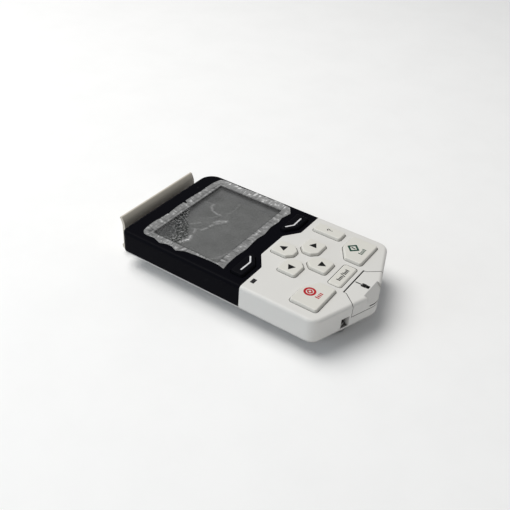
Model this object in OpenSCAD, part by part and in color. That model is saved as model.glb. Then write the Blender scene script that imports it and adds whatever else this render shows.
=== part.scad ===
// Handheld control panel: a display with two softkeys, a keypad, a hinged port cover, a spring
// latch at the top end, and a rear boss that holds a modular jack and a coin cell.
// It lies on its rear face. +X is right, +Y is towards the latch, +Z is out of the display.
// Modules are drawn from the middle of the front face's top edge, then moved by placed().

/* [Body] */
// Width across the long sides
body_w = 70; // [68:0.5:90]
// Length from the top end to the tip of the slanted end
body_l = 120.4; // [119:0.2:150]
// Height of the front shells' side walls
front_h = 11.5; // [11:0.1:15]
// Height of the rear cover's rim
rim_h = 1; // [0.8:0.1:1.6]
// Height of the rear boss below the rim
boss_h = 8; // [7.6:0.1:12]
// Inset of the rear boss from the long sides
boss_in = 8; // [6:0.5:9]
// Wall thickness of the shells
wall = 2; // [1.6:0.1:2.4]
// Thickness of the front face
face_t = 2; // [1.8:0.1:2.3]
// Radius of the top right corner seen from the front
corner_r = 8; // [6:0.5:12]
// Radius of the top left corner seen from the front
left_corner_r = 3; // [2.5:0.5:12]
// Radius where the long sides meet the slanted end
end_r = 6; // [4:0.5:9]
// Radius of the tip
tip_r = 8; // [4:0.5:12]
// Slope of the end edges
end_angle = 20; // [14:1:26]
// Rounding along the front face's edge
edge_r = 1.6; // [0.8:0.1:1.9]

/* [Display] */
// Width of the display opening
window_w = 54; // [44:0.5:55]
// Height of the display opening
window_h = 37.5; // [30:0.5:39]
// Distance from the top end to the display opening
window_top = 14; // [13.5:0.1:15]
// Depth of the window pane below the face
window_sink = 0.7; // [0.4:0.1:1]
// Thickness of the window pane
pane_t = 1; // [0.8:0.1:1.2]
// Edge of the window pane held behind the opening's lip
pane_lap = 1.2; // [0.8:0.1:1.6]

/* [Keys] */
// Distance from the tip to the centre of the arrow keys
pad_up = 39.6; // [39.6:0.1:42]
// Height of the keys above the face
key_h = 1.35; // [0.8:0.05:2]
// Height of the mode key above the face
mode_h = 0.6; // [0.3:0.05:2]
// Travel of a key
key_travel = 0.6; // [0.3:0.05:0.9]
// Gap round a key in the face
key_gap = 0.25; // [0.15:0.01:0.35]
// Width of the flange that keeps a key behind the face
flange_w = 0.7; // [0.5:0.05:0.9]
// Rounding of a key's top edge
key_edge = 0.55; // [0.2:0.05:0.7]
// Corner radius of the keys
key_r = 1.4; // [0.9:0.1:1.4]
// Half width of an arrow key
arrow_half = 5; // [4.4:0.1:5.2]

/* [Port cover] */
// Distance from the tip to the port cover's back edge
cover_back = 12.4; // [11.8:0.1:12.6]
// Half width of the port cover at its hinge
cover_half = 9.5; // [8.5:0.1:10]
// Half width of the port cover at the end wall
cover_flare = 14.4; // [13.6:0.1:14.6]
// Height of the port cover's skirt on the end wall
skirt_h = 7; // [6.6:0.1:7.2]
// Thickness of the port cover
cover_t = 1.6; // [1.4:0.1:1.7]
// Seam round the port cover
cover_gap = 0.3; // [0.2:0.05:0.4]

/* [Latch] */
// Width of the latch tongue
latch_w = 55; // [50:0.5:56]
// Distance that the latch reaches past the top end
latch_reach = 7.6; // [7.4:0.1:10]
// Height of the latch lip above the face
latch_rise = 0.7; // [0:0.1:2]
// Thickness of the latch tongue
latch_t = 1.5; // [1.2:0.1:1.8]

/* [Hidden] */

eps = 0.01;
through = 40;                 // longer than any cut needs to be
half_w = body_w / 2;
total_t = front_h + rim_h + boss_h;
rear_z = -total_t;            // height of the rear face, seen from the front face

// Stack of parts behind the face
stack_h = 5.6;                // from the back of the face to the board
board_z = -face_t - stack_h;
board_t = 1.6;
board_back = board_z - board_t;
pane_z = -window_sink - pane_t;
gasket_t = 3.7;
glass_z = pane_z - gasket_t;
glass_t = 1.6;

// Clearances
part_gap = 0.3;
pin_gap = 0.05;
board_gap = 0.6;

// Key rows, measured from the centre of the arrow keys
pad_y = -body_l + pad_up;
arrow_in = 3.5;
arrow_out = 15;
arrow_cut = 3;
draft = 0.3;
key_stop_gap = 0.3;           // from the face's back to a key's flange at rest
flange_t = 0.8;
mat_t = 0.7;

// Two-tone seam between the black and the white shell
seam_low = pad_y + 11.2;
seam_high = pad_y + 16.8;
seam_out = 17.3;
seam_in = 9.3;

// Screws
screw_r = 1.2;
screw_head_r = 2.4;
screw_head_h = 1.6;
post_r = 2.6;
post_top = [22.5, -6.3];
post_low = [18.8, pad_y];
head_z = board_back - 4.4;    // where the screw heads seat

// Port cover hinge and socket
hinge_depth = 0.8;
hinge_r = 0.7;
hinge_pin_r = 0.4;
hinge_y = -body_l + cover_back - hinge_r;
ledge_out = 1.4;
ledge_in = 1.2;
scoop_half = 6.4;
scoop_len = 4;
scoop_drop = 5.2;
nail_half = 4.7;
usb_w = 7.7;
usb_h = 3.9;
usb_l = 7.4;
usb_top = -2;
usb_mouth = -body_l + 6.2;

// Rear boss
boss_top = -1.5;
boss_edge = 1.2;
rim_in = 0.35;
floor_t = 1.6;
boss_r = 5;
boss_half = half_w - boss_in;
jack_w = 16;
jack_l = 13.6;
jack_y = -body_l + 31.6;
cell_r = 10;
cell_h = 3.2;
cell_y = -31;
well_r = 11.6;
well_wall = 2.6;
lid_r = 13.4;
lid_t = 1.4;
lug_deg = 24;
lid_turn = 60;

// Latch
curl_r = 8.9;                 // inner radius of the curl under the lip
curl_deg = 35;
mid_r = curl_r - latch_t / 2;
lip_c = [latch_reach - latch_t / 2, latch_rise - latch_t / 2];
curl_c = lip_c + mid_r * [cos(curl_deg), -sin(curl_deg)];
latch_in = curl_c[0] - curl_r; // inner face of the tongue
latch_y = latch_in + latch_t / 2;
latch_z = rear_z + 4;          // axis of the latch's root
root_r = 1.7;
latch_pin_r = 1;
ear_in = 21.6;
ear_w = 2.8;
ear_r = 2.1;
catch_in = 11;
catch_w = 8;
catch_h = 1.1;
catch_z = -9;

// Hook pockets in the slanted end
pocket_in = 15.7;
pocket_w = 4.4;
pocket_top = 5.9;

function unit(v) = v / norm(v);
function arc(c, r, a0, a1, n) =
    [for (k = [0:n]) let (a = a0 + (a1 - a0) * k / n) c + r * [cos(a), sin(a)]];

// One corner of a polygon as an arc: p is the corner, a and b are its neighbours
function corner(p, a, b, r, n) =
    let (u = unit(a - p), v = unit(b - p), h = acos(u * v) / 2, t = r / tan(h),
         c = p + unit(u + v) * r / sin(h),
         s = p + u * t - c, e = p + v * t - c,
         a0 = atan2(s[1], s[0]), turn = (atan2(e[1], e[0]) - a0 + 540) % 360 - 180)
    arc(c, r, a0, a0 + turn, n);
function rounded(pts, r, n = 4) =
    let (m = len(pts))
    [for (i = [0:m - 1]) each corner(pts[i], pts[(i + m - 1) % m], pts[(i + 1) % m], r, n)];

// A counter-clockwise polygon drawn in by d, or out by a negative d
function inset(pts, d) =
    let (m = len(pts))
    [for (i = [0:m - 1])
        let (u = unit(pts[i] - pts[(i + m - 1) % m]), v = unit(pts[(i + 1) % m] - pts[i]),
             p = [-u[1], u[0]], q = [-v[1], v[0]])
        pts[i] + d * (p + q) / (1 + p * q)];
function box_pts(x0, x1, y0, y1) = [[x0, y0], [x1, y0], [x1, y1], [x0, y1]];
function mirrored(pts) = [for (i = [len(pts) - 1:-1:0]) [-pts[i][0], pts[i][1]]];
function turned(pts, a) =
    [for (p = pts) [p[0] * cos(a) - p[1] * sin(a), p[0] * sin(a) + p[1] * cos(a)]];
function moved(pts, v) = [for (p = pts) p + v];

// Outline of the body seen from the front, drawn in by i
apex = body_l + tip_r * (1 / cos(end_angle) - 1);
tip_c = [0, tip_r / cos(end_angle) - apex];
end_x = half_w - end_r;
end_c = [end_x, (end_x * sin(end_angle) + end_r) / cos(end_angle) - apex];
// A top corner of radius r, the right one from 0 degrees and the left one from 90, drawn in by i
function top_corner(r, a, i) =
    let (q = max(r, i + 0.2)) arc([(a == 0 ? 1 : -1) * (half_w - q), -q], q - i, a, a + 90, 8);
function flip(c) = [-c[0], c[1]];
function outline(i) = concat(
    arc(tip_c, tip_r - i, -90 - end_angle, -90 + end_angle, 6),
    arc(end_c, end_r - i, -90 + end_angle, 0, 7),
    top_corner(corner_r, 0, i),
    top_corner(left_corner_r, 90, i),
    arc(flip(end_c), end_r - i, 180, 270 - end_angle, 7));

// Outlines of the keys at the face
arrow_pts = [[-arrow_half + arrow_cut, arrow_in], [arrow_half - arrow_cut, arrow_in],
             [arrow_half, arrow_in + arrow_cut], [arrow_half, arrow_out],
             [-arrow_half, arrow_out], [-arrow_half, arrow_in + arrow_cut]];
function arrow_key(a) = moved(turned(arrow_pts, a), [0, pad_y]);
start_pts = moved([[11.2, -24.8], [29.5, -24.8], [29.5, -10.8], [19.2, -10.8], [11.2, -16]],
                  [0, pad_y]);
help_pts = moved(box_pts(22.3, 29.4, -7.4, 8), [0, pad_y]);
mode_pts = moved(box_pts(-8.4, 8.4, -24.9, -18), [0, pad_y]);
softkey_pts = moved([[18.6, 13.6], [29.2, 13.6], [29.2, 20.8], [12.6, 20.8], [12.6, 17.8]],
                    [0, pad_y]);
white_keys = [arrow_key(0), arrow_key(90), arrow_key(180), arrow_key(270), start_pts,
              mirrored(start_pts), help_pts, mode_pts];
black_keys = [softkey_pts, mirrored(softkey_pts)];

// Outline of the port cover, grown by g all round its back and sides
function cover_pts(g) = inset(
    [[-cover_flare, -body_l - 3], [cover_flare, -body_l - 3], [cover_flare, -body_l + 5.2],
     [cover_half, -body_l + 11], [cover_half, -body_l + cover_back],
     [-cover_half, -body_l + cover_back], [-cover_half, -body_l + 11],
     [-cover_flare, -body_l + 5.2]], -g);

boss_pts = [[-12, -body_l + 9], [12, -body_l + 9], [boss_half, -body_l + 20],
            [boss_half, boss_top], [-boss_half, boss_top], [-boss_half, -body_l + 20]];

lens_pts = box_pts(-window_w / 2, window_w / 2, -window_top - window_h, -window_top);

label_pts = box_pts(-17, 17, -68, -50);

module placed() translate([0, (body_l - latch_reach) / 2, total_t]) children();

// A plate between two heights with the given outline
module slab(pts, z0, z1) translate([0, 0, z0]) linear_extrude(z1 - z0) polygon(pts);
module block(x0, x1, y0, y1, z0, z1) slab(box_pts(x0, x1, y0, y1), z0, z1);
module rod(p, r, z0, z1, n = 48) translate([p[0], p[1], z0]) cylinder(r = r, h = z1 - z0, $fn = n);
module both_sides() { children(); mirror([1, 0, 0]) children(); }
module cross_rod(y, z, r, x0, x1)
    translate([x0, y, z]) rotate([0, 90, 0]) cylinder(r = r, h = x1 - x0, $fn = 48);

// The body down to the seam, with its front edge rounded in n steps
module body_block(r, n = 5) {
    slab(outline(0), -front_h, -r);
    hull() for (k = [0:n]) let (a = 90 * k / n)
        slab(outline(r * (1 - sin(a))), -r * (1 - cos(a)) - eps, -r * (1 - cos(a)));
}

module front_shell() difference() {
    body_block(edge_r);
    slab(outline(wall), -front_h - 1, -face_t);
}

seam_pts = rounded([[-half_w - 9, 9], [-half_w - 9, seam_low], [-seam_out, seam_low],
                    [-seam_in, seam_high], [seam_in, seam_high], [seam_out, seam_low],
                    [half_w + 9, seam_low], [half_w + 9, 9]], 1.5);

module screw_post(p, z0, z1) difference() {
    rod(p, post_r, z0, z1);
    rod(p, screw_r + pin_gap, z0 - 1, z1 - 0.8);
}

led_pts = box_pts(-29.3, -26.3, pad_y + 7.6, pad_y + 9.4);

module front_housing() color([0.84, 0.83, 0.80]) {
    difference() {
        union() {
            difference() {
                front_shell();
                slab(seam_pts, -through, 1);
            }
            both_sides() {
                screw_post(post_low, board_z, -face_t + eps);
                hinge_ear();
                hook_pocket_walls();
            }
            port_well();
        }
        for (pts = white_keys) slab(rounded(inset(pts, -key_gap), key_r + key_gap), -face_t - 1, 1);
        slab(inset(led_pts, -part_gap / 3), -face_t - 1, 1);
        port_opening();
        both_sides() {
            hook_pocket();
            cross_rod(hinge_y, -hinge_depth, hinge_pin_r + pin_gap, cover_half, cover_half + 2.6);
        }
    }
}

// Cut through the face and the end wall that the port cover closes, apart from the ledge
module port_opening() {
    difference() {
        slab(cover_pts(cover_gap), -skirt_h - cover_gap, 1);
        intersection() {
            slab(cover_pts(ledge_out), -skirt_h - ledge_out, -cover_t - part_gap);
            slab(outline(wall), -through, 1);
        }
    }
    slab(inset(cover_pts(0), ledge_in), -skirt_h - cover_gap, 1);
}

// Ledge under the port cover's edge and the pocket that the USB socket opens into
module port_well() intersection() {
    difference() {
        slab(cover_pts(ledge_out), -skirt_h - ledge_out + 0.1, -cover_t - part_gap);
        slab(inset(cover_pts(0), ledge_in), -skirt_h - cover_gap, 1);
        block(-usb_w / 2 - 0.4, usb_w / 2 + 0.4, usb_mouth + 1, 0, -through, 0);
        block(-half_w, half_w, -body_l + 9.6, 0, -through, board_z + part_gap);
    }
    slab(outline(wall - eps), -through, 1);
}

module hinge_ear() block(cover_half + cover_gap + 0.4, cover_half + 2.8, hinge_y - 0.4,
                         hinge_y + 1.2, -face_t - 0.6, -0.3);

module hook_pocket_walls() intersection() {
    block(pocket_in - 0.8, pocket_in + pocket_w + 1, -body_l, -body_l + 13.6, -front_h, -face_t);
    slab(outline(wall - eps), -through, 1);
}
module hook_pocket() block(pocket_in, pocket_in + pocket_w, -body_l, -body_l + 12.6,
                           -front_h - 1, -pocket_top);

module display_bezel() color([0.06, 0.06, 0.08]) difference() {
    union() {
        intersection() {
            front_shell();
            slab(seam_pts, -through, 1);
        }
        both_sides() screw_post(post_top, board_z, -face_t + eps);
    }
    slab(rounded(lens_pts, 0.8), -face_t - 1, 1);
    slab(rounded(inset(lens_pts, -pane_lap - part_gap / 2), 1), -face_t - 1, -window_sink);
    for (pts = black_keys) slab(rounded(inset(pts, -key_gap), key_r + key_gap), -face_t - 1, 1);
}

module display_window() color([0.55, 0.56, 0.55, 0.4])
    slab(rounded(inset(lens_pts, -pane_lap), 1), pane_z, -window_sink);

film_pts = [[-30, -55], [33, -55], [33, -7.3], [-29, -6.9], [-31, -10]];
module protective_film() color([0.8, 0.8, 0.82, 0.5]) slab(rounded(film_pts, 0.8), 0, 0.2);

module window_gasket() color([0.1, 0.1, 0.1]) difference() {
    slab(rounded(inset(lens_pts, -pane_lap), 1), glass_z, pane_z);
    slab(inset(lens_pts, -0.2), glass_z - 1, pane_z + 1);
}

module lcd_panel() color([0.42, 0.43, 0.41])
    slab(inset(lens_pts, -pane_lap + 0.2), glass_z - glass_t, glass_z);

module lcd_frame() color([0.85, 0.85, 0.83]) difference() {
    slab(inset(lens_pts, -pane_lap - 1), board_z, glass_z);
    slab(inset(lens_pts, -pane_lap), glass_z - glass_t, glass_z + 1);
    block(-9.5, 9.5, -through * 2, -window_top - window_h, board_z - 1, glass_z + 1);
}

ribbon_y = -window_top - window_h;
module lcd_ribbon() color([0.75, 0.5, 0.2]) translate([-9, 0, 0]) rotate([90, 0, 90])
    linear_extrude(18) polygon([
        [ribbon_y, glass_z - glass_t], [ribbon_y - 2.9, glass_z - glass_t],
        [ribbon_y - 4.2, board_z + 0.85], [ribbon_y - 5.2, board_z + 0.85],
        [ribbon_y - 5.2, board_z + 0.6], [ribbon_y - 4, board_z + 0.6],
        [ribbon_y - 2.7, glass_z - glass_t - 0.25], [ribbon_y, glass_z - glass_t - 0.25]]);

module ribbon_connector() color([0.9, 0.88, 0.8]) difference() {
    block(-10.5, 10.5, ribbon_y - 6, ribbon_y - 4.3, board_z, board_z + 1.3);
    block(-9.2, 9.2, ribbon_y - 5.4, ribbon_y - 3, board_z + 0.5, board_z + 0.95);
}

// A moulded key: a cap with rounded top edges that passes through the face, and a flange behind it
module key(pts, h) {
    hull() {
        for (k = [0:3]) let (a = 30 * k, i = draft + key_edge * (1 - sin(a)),
                             z = h - key_edge * (1 - cos(a)))
            slab(rounded(inset(pts, i), max(key_r - i, 0.25)), z - eps, z);
        slab(rounded(pts, key_r), -face_t - key_stop_gap - eps, 0);
    }
    slab(rounded(inset(pts, -flange_w), key_r), -face_t - key_stop_gap - flange_t,
         -face_t - key_stop_gap);
}
module white_key(pts, h = key_h) color([0.86, 0.85, 0.80]) key(pts, h);
module softkey_right() color([0.05, 0.05, 0.06]) key(softkey_pts, key_h);
module softkey_left() color([0.05, 0.05, 0.06]) key(mirrored(softkey_pts), key_h);
module key_up() white_key(arrow_key(0));
module key_left() white_key(arrow_key(90));
module key_down() white_key(arrow_key(180));
module key_right() white_key(arrow_key(270));
module key_help() white_key(help_pts);
module key_mode() white_key(mode_pts, mode_h);
module key_start() white_key(start_pts);
module key_stop() white_key(mirrored(start_pts));

// Silicone mat with a contact dome below each key
dome_top = -face_t - key_stop_gap - flange_t - key_travel - 0.1;
dome_places = [[0, 9.5], [0, -9.5], [9.5, 0], [-9.5, 0], [21, -18.2], [-21, -18.2], [25.8, 0.7],
               [0, -21.4], [21.5, 17.2], [-21.5, 17.2]];
module keypad_mat() color([0.5, 0.52, 0.55]) difference() {
    union() {
        slab(rounded(box_pts(-30.6, 30.6, pad_y - 25.6, pad_y + 22.2), 2), board_z, board_z + mat_t);
        for (d = dome_places) {
            rod(d + [0, pad_y], 2.3, board_z, board_z + mat_t + 1.2);
            rod(d + [0, pad_y], 1.5, board_z, dome_top);
        }
    }
    both_sides() rod(post_low, post_r + part_gap, -through, 1);
    slab(inset(led_pts, -0.8), -through, 1);
}

module status_light_pipe() color([0.04, 0.04, 0.05]) {
    slab(led_pts, board_z + 0.9, 0.05);
    slab(inset(led_pts, -0.5), -face_t - 0.8, -face_t);
}
module status_led() color([0.9, 0.9, 0.7]) slab(inset(led_pts, 0.2), board_z, board_z + 0.8);

module main_board() color([0.05, 0.32, 0.16]) difference() {
    union() {
        intersection() {
            slab(outline(wall + board_gap), board_back, board_z);
            block(-half_w, half_w, -body_l + 14, 0, -through, 0);
        }
        block(-7.5, 7.5, -body_l + 9.9, -body_l + 14.5, board_back, board_z);
    }
    both_sides() {
        rod(post_top, screw_r + 0.3, -through, 0);
        rod(post_low, screw_r + 0.3, -through, 0);
    }
}

module board_chips() color([0.08, 0.08, 0.09]) {
    block(-20, -8, -62, -50, board_back - 1.3, board_back);
    block(6, 15, -58, -51.5, board_back - 1.1, board_back);
    block(17.5, 22, -60, -54, board_back - 1.5, board_back);
    block(-21, -15, -body_l + 20, -body_l + 25, board_back - 1.6, board_back);
}

module board_capacitors() color([0.2, 0.25, 0.5])
    for (p = [[15, -body_l + 22], [15, -body_l + 28.5], [-12.5, -body_l + 30]])
        rod(p, 2.6, board_back - 5, board_back, 32);

module usb_socket() color([0.75, 0.76, 0.78]) {
    difference() {
        block(-usb_w / 2, usb_w / 2, usb_mouth, usb_mouth + usb_l, usb_top - usb_h, usb_top);
        block(-usb_w / 2 + 0.35, usb_w / 2 - 0.35, usb_mouth - 1, usb_mouth + usb_l - 1.2,
              usb_top - usb_h + 0.35, usb_top - 0.35);
    }
    block(-usb_w / 2, usb_w / 2, usb_mouth + 3, usb_mouth + usb_l, board_z, usb_top - usb_h);
}
module usb_tongue() color([0.05, 0.05, 0.05])
    block(-2.6, 2.6, usb_mouth + 1, usb_mouth + usb_l - 1.2, usb_top - usb_h / 2 - 0.5,
          usb_top - usb_h / 2 + 0.4);

// Modular jack whose mouth is in the rear face
mouth_w = 11.9;
mouth_l = 7.4;
mouth_deep = 9.4;
module panel_jack() color([0.07, 0.07, 0.07]) difference() {
    block(-jack_w / 2, jack_w / 2, jack_y - jack_l / 2, jack_y + jack_l / 2, rear_z + 0.2,
          board_back);
    block(-mouth_w / 2, mouth_w / 2, jack_y - mouth_l / 2, jack_y + mouth_l / 2, -through,
          rear_z + 0.2 + mouth_deep);
    block(-3.1, 3.1, jack_y - mouth_l / 2 - 2.3, jack_y, -through, rear_z + 0.2 + mouth_deep);
}
contact_pitch = 1.02;
module jack_contacts() color([0.85, 0.7, 0.3])
    for (k = [0:7]) translate([(k - 3.5) * contact_pitch - 0.2, 0, 0]) rotate([90, 0, 90])
        linear_extrude(0.4) polygon([
            [jack_y + mouth_l / 2, rear_z + 1.6], [jack_y + mouth_l / 2, rear_z + 2.2],
            [jack_y + mouth_l / 2 - 2.2, rear_z + mouth_deep],
            [jack_y + mouth_l / 2 - 2.5, rear_z + mouth_deep]]);

module battery_holder() color([0.1, 0.1, 0.1]) translate([0, cell_y, 0]) difference() {
    rod([0, 0], cell_r + 1.2, board_back - 2.6, board_back);
    rod([0, 0], cell_r + 0.2, board_back - 3, board_back - 1);
}
module coin_cell() color([0.78, 0.79, 0.8]) translate([0, cell_y, 0]) {
    rod([0, 0], cell_r, board_back - 1 - cell_h, board_back - 1.4, 64);
    rod([0, 0], cell_r - 1.5, board_back - 1.4, board_back - 1, 64);
}
module battery_clip() color([0.8, 0.75, 0.5]) translate([0, cell_y, 0])
    block(-2, 2, -cell_r - 0.9, cell_r + 0.9, board_back - 1.3 - cell_h, board_back - 1 - cell_h);

// Round lid held by two lugs that turn under ledges in the battery well
lid_z = rear_z + 0.2;
lid_top = lid_z + lid_t;
spigot_r = well_r - part_gap;
spigot_t = 1.4;
lug_z = lid_top + 1.3;
lug_t = 1;
lug_r = spigot_r + 1.2;
lug_gap = 0.2;
seal_z = lid_top + 0.65;
module battery_cover() color([0.74, 0.72, 0.68]) translate([0, cell_y, 0]) difference() {
    union() {
        rod([0, 0], lid_r, lid_z, lid_top, 96);
        rod([0, 0], spigot_r, lid_top - eps, lug_z + lug_t, 96);
        for (a = [0, 180]) translate([0, 0, lug_z]) rotate([0, 0, a - lug_deg / 2])
            rotate_extrude(angle = lug_deg, $fn = 96)
                polygon(box_pts(spigot_r - 1, lug_r, 0, lug_t));
    }
    rod([0, 0], spigot_r - spigot_t, lid_top, through, 96);
    translate([0, 0, seal_z]) rotate_extrude($fn = 96)
        polygon(box_pts(spigot_r - 0.8, spigot_r + 1, -0.45, 0.45));
    block(-6, 6, -1, 1, -through, lid_z + 0.8);
}
module battery_seal() color([0.12, 0.12, 0.12]) translate([0, cell_y, seal_z])
    rotate_extrude($fn = 96) translate([spigot_r - 0.35, 0]) circle(r = 0.4, $fn = 24);

// Room that a lug needs while it turns by sweep degrees from its seat
module lug_path(a, sweep, z0, z1) translate([0, cell_y, z0])
    rotate([0, 0, a - sweep - lug_deg / 2 - 2]) rotate_extrude(angle = lug_deg + sweep + 4, $fn = 96)
        polygon(box_pts(well_r - 0.5, lug_r + part_gap, 0, z1 - z0));

module boss_block(n = 3) {
    slab(rounded(boss_pts, boss_r, 5), rear_z + boss_edge, -front_h - rim_h);
    hull() for (k = [0:n]) let (a = 90 * k / n, i = boss_edge * (1 - sin(a)))
        slab(rounded(inset(boss_pts, i), boss_r - i, 5), rear_z + boss_edge * (1 - cos(a)),
             rear_z + boss_edge * (1 - cos(a)) + eps);
}

module rear_cover() color([0.74, 0.72, 0.68]) difference() {
    union() {
        difference() {
            union() {
                slab(outline(rim_in), -front_h - rim_h, -front_h);
                rim_lip();
                boss_block();
            }
            slab(rounded(inset(boss_pts, wall), boss_r - wall, 5), rear_z + floor_t, 0);
        }
        both_sides() {
            rod(post_top, screw_head_r + 0.9, rear_z + 1, board_back);
            rod(post_low, screw_head_r + 0.9, rear_z + 1, board_back);
            latch_ear();
            pocket_step();
        }
        rod([0, cell_y], well_r + well_wall, rear_z + 1, board_back - part_gap, 96);
        jack_block(1.6, rear_z + 1, rear_z + 4);
    }
    both_sides() {
        for (p = [post_top, post_low]) {
            rod(p, screw_r + pin_gap, -through, 0);
            rod(p, screw_head_r + 0.2, -through, head_z);
        }
    }
    rod([0, cell_y], well_r, -through, 0, 96);
    rod([0, cell_y], lid_r + 0.2, -through, lid_top + lug_gap, 96);
    for (a = [0, 180]) {
        lug_path(a, lid_turn, lug_z - lug_gap, lug_z + lug_t + lug_gap);
        lug_path(a - lid_turn, 0, lid_top, lug_z);
    }
    jack_block(0.2, -through, 0);
    slab(label_pts, -through, rear_z + 0.2);
}

module jack_block(g, z0, z1) block(-jack_w / 2 - g, jack_w / 2 + g, jack_y - jack_l / 2 - g,
                                   jack_y + jack_l / 2 + g, z0, z1);

// Lip that centres the front shells on the rear cover
module rim_lip() difference() {
    slab(outline(wall + 0.2), -front_h - eps, -front_h + 1.4);
    slab(outline(wall + 1.4), -front_h - 1, -front_h + 2);
    block(-half_w, half_w, -body_l, -body_l + 15, -through, 0);
}
module pocket_step() block(pocket_in + 0.2, pocket_in + 2.4, -body_l + 7.4, -body_l + 8.6,
                           -front_h - eps, -front_h + 1.2);
module latch_ear() difference() {
    union() {
        block(ear_in, ear_in + ear_w, boss_top - eps, latch_y, latch_z - ear_r, latch_z + ear_r);
        cross_rod(latch_y, latch_z, ear_r, ear_in, ear_in + ear_w);
    }
    cross_rod(latch_y, latch_z, latch_pin_r + pin_gap, ear_in - 1, ear_in + ear_w + 1);
}

module rear_label() color([0.8, 0.8, 0.78]) slab(label_pts, rear_z + 0.05, rear_z + 0.2);

module case_screws() color([0.6, 0.6, 0.62]) both_sides() for (p = [post_top, post_low])
    difference() {
        union() {
            rod(p, screw_head_r, head_z - screw_head_h, head_z);
            rod(p, screw_r, head_z - eps, -face_t - 1.2);
        }
        rod(p, 1.15, head_z - screw_head_h - 1, head_z - screw_head_h + 0.9, 6);
    }

// Tongue with a lip that curls outwards, two catches on its outer face and a root on pins
tongue_pts = concat(
    [[latch_in, latch_z]],
    arc(curl_c, curl_r, 180, 180 - curl_deg, 8),
    arc(lip_c, latch_t / 2, 180 - curl_deg, -curl_deg, 6),
    arc(curl_c, curl_r - latch_t, 180 - curl_deg, 180, 8),
    [[latch_in + latch_t, latch_z]]);
module latch_clip() color([0.72, 0.69, 0.62]) {
    difference() {
        union() {
            translate([-latch_w / 2, 0, 0]) rotate([90, 0, 90])
                linear_extrude(latch_w) polygon(tongue_pts);
            cross_rod(latch_y, latch_z, root_r, -latch_w / 2, latch_w / 2);
            both_sides() translate([catch_in, 0, 0]) rotate([90, 0, 90]) linear_extrude(catch_w)
                polygon([[latch_y, catch_z], [latch_y, catch_z - 3.4],
                         [latch_in + latch_t, catch_z - 3.4],
                         [latch_in + latch_t + catch_h, catch_z]]);
        }
        both_sides() block(ear_in - part_gap, ear_in + ear_w + part_gap, -through, through,
                           -through, latch_z + ear_r + part_gap);
    }
    both_sides() cross_rod(latch_y, latch_z, latch_pin_r, ear_in - 1, ear_in + ear_w + 1);
}

module port_cover() color([0.86, 0.85, 0.82]) difference() {
    union() {
        difference() {
            intersection() {
                body_block(edge_r);
                slab(cover_pts(0), -skirt_h, 1);
            }
            difference() {
                slab(outline(cover_t), -through, -cover_t);
                block(-scoop_half - 1, scoop_half + 1, -body_l, -body_l + scoop_len + 0.4,
                      -through, 0);
            }
            block(-half_w, half_w, hinge_y, 0, -through, 1);
        }
        cross_rod(hinge_y, -hinge_depth, hinge_r, -cover_half, cover_half);
        cross_rod(hinge_y, -hinge_depth, hinge_pin_r, -cover_half - 2.4, cover_half + 2.4);
    }
    translate([0, -body_l + scoop_len, 0]) rotate([atan(scoop_drop / scoop_len), 0, 0])
        linear_extrude(through)
            polygon(rounded(box_pts(-scoop_half, scoop_half, -norm([scoop_len, scoop_drop]) - 0.3, 4),
                            2.6, 6));
    difference() {
        block(-nail_half, nail_half, -body_l - 1, 0, -scoop_drop - 0.7, -scoop_drop - 0.05);
        slab(outline(1.3), -through, 1);
    }
}

placed() front_housing();
placed() display_bezel();
placed() display_window();
placed() protective_film();
placed() window_gasket();
placed() lcd_panel();
placed() lcd_frame();
placed() lcd_ribbon();
placed() ribbon_connector();
placed() softkey_left();
placed() softkey_right();
placed() key_up();
placed() key_down();
placed() key_left();
placed() key_right();
placed() key_help();
placed() key_mode();
placed() key_start();
placed() key_stop();
placed() keypad_mat();
placed() status_light_pipe();
placed() status_led();
placed() main_board();
placed() board_chips();
placed() board_capacitors();
placed() usb_socket();
placed() usb_tongue();
placed() panel_jack();
placed() jack_contacts();
placed() battery_holder();
placed() battery_clip();
placed() coin_cell();
placed() battery_cover();
placed() battery_seal();
placed() rear_cover();
placed() rear_label();
placed() case_screws();
placed() latch_clip();
placed() port_cover();
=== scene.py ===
"""Looks of the handheld control panel: finishes, printed signs, display, creased film and stage."""

import math

import bpy
from bpy.props import BoolProperty, FloatProperty, FloatVectorProperty, PointerProperty
from mathutils import Matrix, Vector, noise


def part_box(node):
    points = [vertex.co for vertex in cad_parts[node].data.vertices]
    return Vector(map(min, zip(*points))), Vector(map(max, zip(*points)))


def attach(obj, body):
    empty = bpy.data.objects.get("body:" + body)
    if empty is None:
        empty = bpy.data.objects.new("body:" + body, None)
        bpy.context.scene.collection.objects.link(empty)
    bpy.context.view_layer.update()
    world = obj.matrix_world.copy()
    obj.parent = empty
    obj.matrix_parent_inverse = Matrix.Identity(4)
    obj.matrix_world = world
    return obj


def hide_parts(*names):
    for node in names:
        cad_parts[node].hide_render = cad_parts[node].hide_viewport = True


bl_info = {
    "name": "Handheld Control Panel",
    "version": (1, 0, 0),
    "blender": (4, 5, 0),
    "location": "View3D > Sidebar > Hand Panel",
    "description": "Finishes a handheld control panel: shells, keys, signs, display and protective film",
    "category": "Object",
}

MM = 0.001

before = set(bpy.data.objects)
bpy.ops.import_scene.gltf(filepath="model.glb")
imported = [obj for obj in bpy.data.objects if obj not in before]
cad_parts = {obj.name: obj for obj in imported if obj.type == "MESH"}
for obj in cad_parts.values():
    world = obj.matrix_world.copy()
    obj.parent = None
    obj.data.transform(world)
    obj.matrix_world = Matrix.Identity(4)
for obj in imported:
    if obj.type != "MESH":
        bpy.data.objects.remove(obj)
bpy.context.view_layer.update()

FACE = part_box("display_bezel")[1].z
WINDOW_LOW, WINDOW_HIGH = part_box("display_window")
PANE_LAP = 1.2 * MM

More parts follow.
